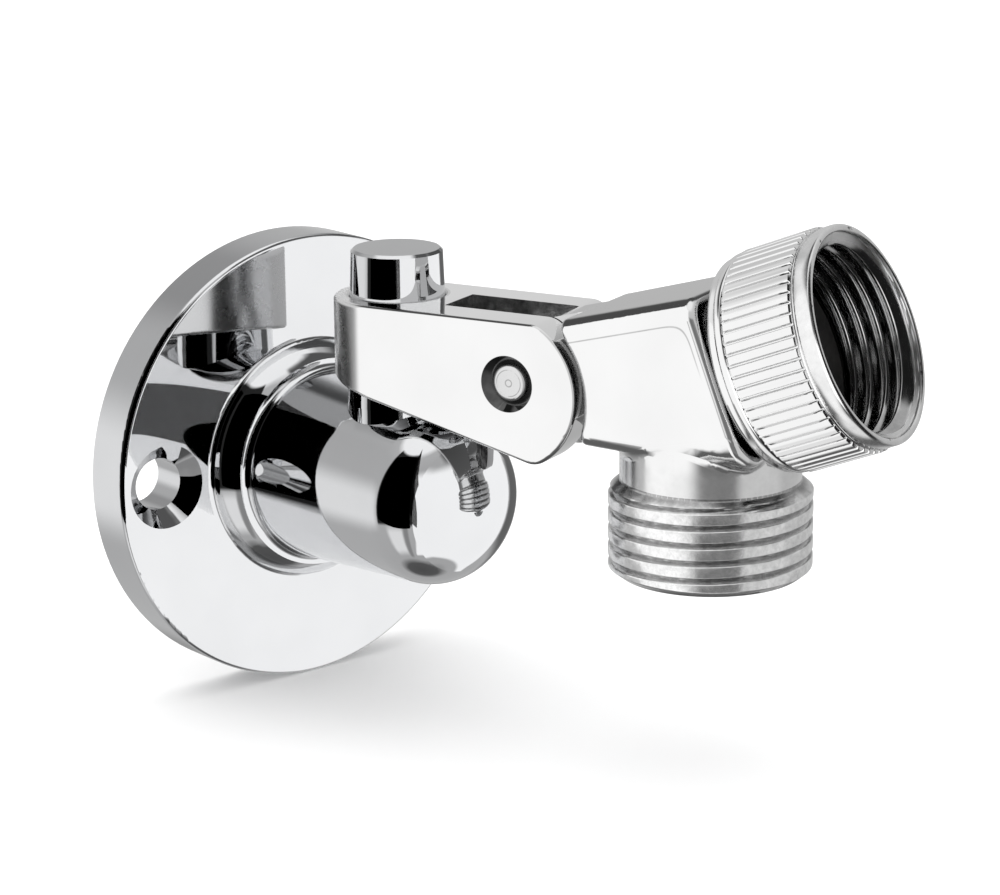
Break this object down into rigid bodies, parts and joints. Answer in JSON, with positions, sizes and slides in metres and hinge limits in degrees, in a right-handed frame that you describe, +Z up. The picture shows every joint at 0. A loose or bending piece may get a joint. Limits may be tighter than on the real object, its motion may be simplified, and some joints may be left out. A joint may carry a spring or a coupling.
{
  "type": "hand shower holder",
  "caption": "Chromed wall hook with an upright tapered pin carrying a swivelling elbow connector: male hose thread below, knurled coupling nut for a hand shower at the front.",
  "frame": {"origin": "centre of the flange's back face, midway between the two wall screw holes", "axes": "+Z up along the hook's pin, +Y into the wall, so the holder stands out along -Y; +X to the right as the wall is faced from the room"},
  "size_m": [0.0553, 0.0779, 0.0578],
  "materials": {
    "hook_chrome": "mirror polished",
    "connector_chrome": "bright plated",
    "screw_steel": "zinc plated",
    "ring_brass": "drawn wire",
    "washer_plastic": "moulded",
    "seal_rubber": "matt"
  },
  "bodies": {
    "hook": {"mount_flange": "hook_chrome", "hook_peg": "hook_chrome", "peg_screw": "screw_steel"},
    "pin": {"hook_pin": "hook_chrome"},
    "arm": {"hanger_arm": "connector_chrome", "pivot_pin": "connector_chrome"},
    "connector": {"connector_body": "connector_chrome", "friction_washer_a": "washer_plastic", "friction_washer_b": "washer_plastic", "retaining_ring": "ring_brass", "hose_washer": "seal_rubber"},
    "nut": {"swivel_nut": "connector_chrome"}
  },
  "joints": [
    {"name": "pin_swivel", "type": "hinge", "parent": "hook", "child": "pin", "pos_m": [0, -0.0223, 0], "axis": [0, 0, 1], "range_deg": [-116.5, 73.4]},
    {"name": "lift_off", "type": "slide", "parent": "pin", "child": "arm", "axis": [0, 0, 1], "range_m": [0, 0.03]},
    {"name": "arm_tilt", "type": "hinge", "parent": "arm", "child": "connector", "pos_m": [0.00628, -0.0382, 0.01475], "axis": [-0.9301, -0.3673, 0], "range_deg": [-30, 80]},
    {"name": "nut_spin", "type": "hinge", "parent": "connector", "child": "nut", "pos_m": [0.01762, -0.06692, 0.02008], "axis": [0.342, -0.866, 0.3649], "continuous": true}
  ]
}
